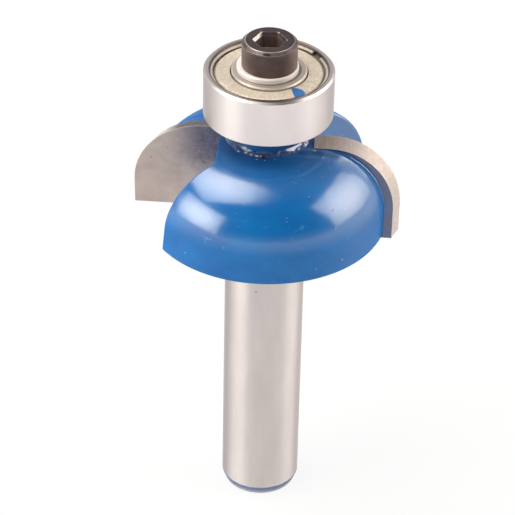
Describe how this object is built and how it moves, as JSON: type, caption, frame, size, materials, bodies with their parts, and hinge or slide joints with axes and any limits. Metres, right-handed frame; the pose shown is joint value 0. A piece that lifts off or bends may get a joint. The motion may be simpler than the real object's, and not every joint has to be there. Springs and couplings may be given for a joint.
{
  "type": "cove router bit with guide bearing",
  "caption": "Cove router bit with a straight shank, a blue domed head with brazed carbide tips, and a shielded guide bearing held by a socket-head cap screw.",
  "frame": {"origin": "middle of the shank's flat end, the axis of rotation being Z", "axes": "+Z along the axis from the shank's end to the screw head; X along the cutting faces at the underside of the head, +X to the first tip"},
  "size_m": [0.0266, 0.024, 0.0534],
  "materials": {
    "cutter_body": "glossy blue enamel on the head and the shank's end chamfer, bare ground steel on the shank",
    "carbide": "ground tungsten carbide, satin, the back faces enamelled with the body",
    "outer_ring": "ground bearing steel, polished",
    "inner_ring": "ground bearing steel, polished",
    "ball": "mirror polish",
    "cage": "stamped steel strip",
    "shield": "matt passivated sheet steel",
    "snap_wire": "drawn spring wire",
    "washer": "bright zinc",
    "screw": "brown-black oxide, worn bright at the edges"
  },
  "bodies": {
    "cutter": {"cutter_body": "cutter_body", "carbide_tip_1": "carbide", "carbide_tip_2": "carbide", "bearing_inner_ring": "inner_ring", "screw_washer": "washer", "cap_screw": "screw"},
    "outer_race": {"bearing_outer_ring": "outer_ring", "shield_upper": "shield", "shield_lower": "shield", "snap_wire_upper": "snap_wire", "snap_wire_lower": "snap_wire"},
    "ball_cage": {"cage_upper": "cage", "cage_lower": "cage"},
    "ball_1": {"bearing_ball_1": "ball"},
    "ball_2": {"bearing_ball_2": "ball"},
    "ball_3": {"bearing_ball_3": "ball"},
    "ball_4": {"bearing_ball_4": "ball"},
    "ball_5": {"bearing_ball_5": "ball"},
    "ball_6": {"bearing_ball_6": "ball"},
    "ball_7": {"bearing_ball_7": "ball"}
  },
  "joints": [
    {"name": "bearing_spin", "type": "hinge", "parent": "cutter", "child": "outer_race", "pos_m": [0, 0, 0.04769], "axis": [0, 0, 1], "continuous": true},
    {"name": "cage_orbit", "type": "hinge", "parent": "cutter", "child": "ball_cage", "pos_m": [0, 0, 0.04769], "axis": [0, 0, 1], "continuous": true},
    {"name": "ball_1_roll", "type": "hinge", "parent": "ball_cage", "child": "ball_1", "pos_m": [0.00436, 0, 0.04769], "axis": [0, 0, 1], "continuous": true},
    {"name": "ball_2_roll", "type": "hinge", "parent": "ball_cage", "child": "ball_2", "pos_m": [0.00272, 0.00341, 0.04769], "axis": [0, 0, 1], "continuous": true},
    {"name": "ball_3_roll", "type": "hinge", "parent": "ball_cage", "child": "ball_3", "pos_m": [-0.00097, 0.00426, 0.04769], "axis": [0, 0, 1], "continuous": true},
    {"name": "ball_4_roll", "type": "hinge", "parent": "ball_cage", "child": "ball_4", "pos_m": [-0.00393, 0.00189, 0.04769], "axis": [0, 0, 1], "continuous": true},
    {"name": "ball_5_roll", "type": "hinge", "parent": "ball_cage", "child": "ball_5", "pos_m": [-0.00393, -0.00189, 0.04769], "axis": [0, 0, 1], "continuous": true},
    {"name": "ball_6_roll", "type": "hinge", "parent": "ball_cage", "child": "ball_6", "pos_m": [-0.00097, -0.00426, 0.04769], "axis": [0, 0, 1], "continuous": true},
    {"name": "ball_7_roll", "type": "hinge", "parent": "ball_cage", "child": "ball_7", "pos_m": [0.00272, -0.00341, 0.04769], "axis": [0, 0, 1], "continuous": true}
  ],
  "couplings": [
    {"joint": "cage_orbit", "follows": "bearing_spin", "ratio": 0.63637},
    {"joint": "ball_1_roll", "follows": "bearing_spin", "ratio": 1.6969},
    {"joint": "ball_2_roll", "follows": "bearing_spin", "ratio": 1.6969},
    {"joint": "ball_3_roll", "follows": "bearing_spin", "ratio": 1.6969},
    {"joint": "ball_4_roll", "follows": "bearing_spin", "ratio": 1.6969},
    {"joint": "ball_5_roll", "follows": "bearing_spin", "ratio": 1.6969},
    {"joint": "ball_6_roll", "follows": "bearing_spin", "ratio": 1.6969},
    {"joint": "ball_7_roll", "follows": "bearing_spin", "ratio": 1.6969}
  ]
}
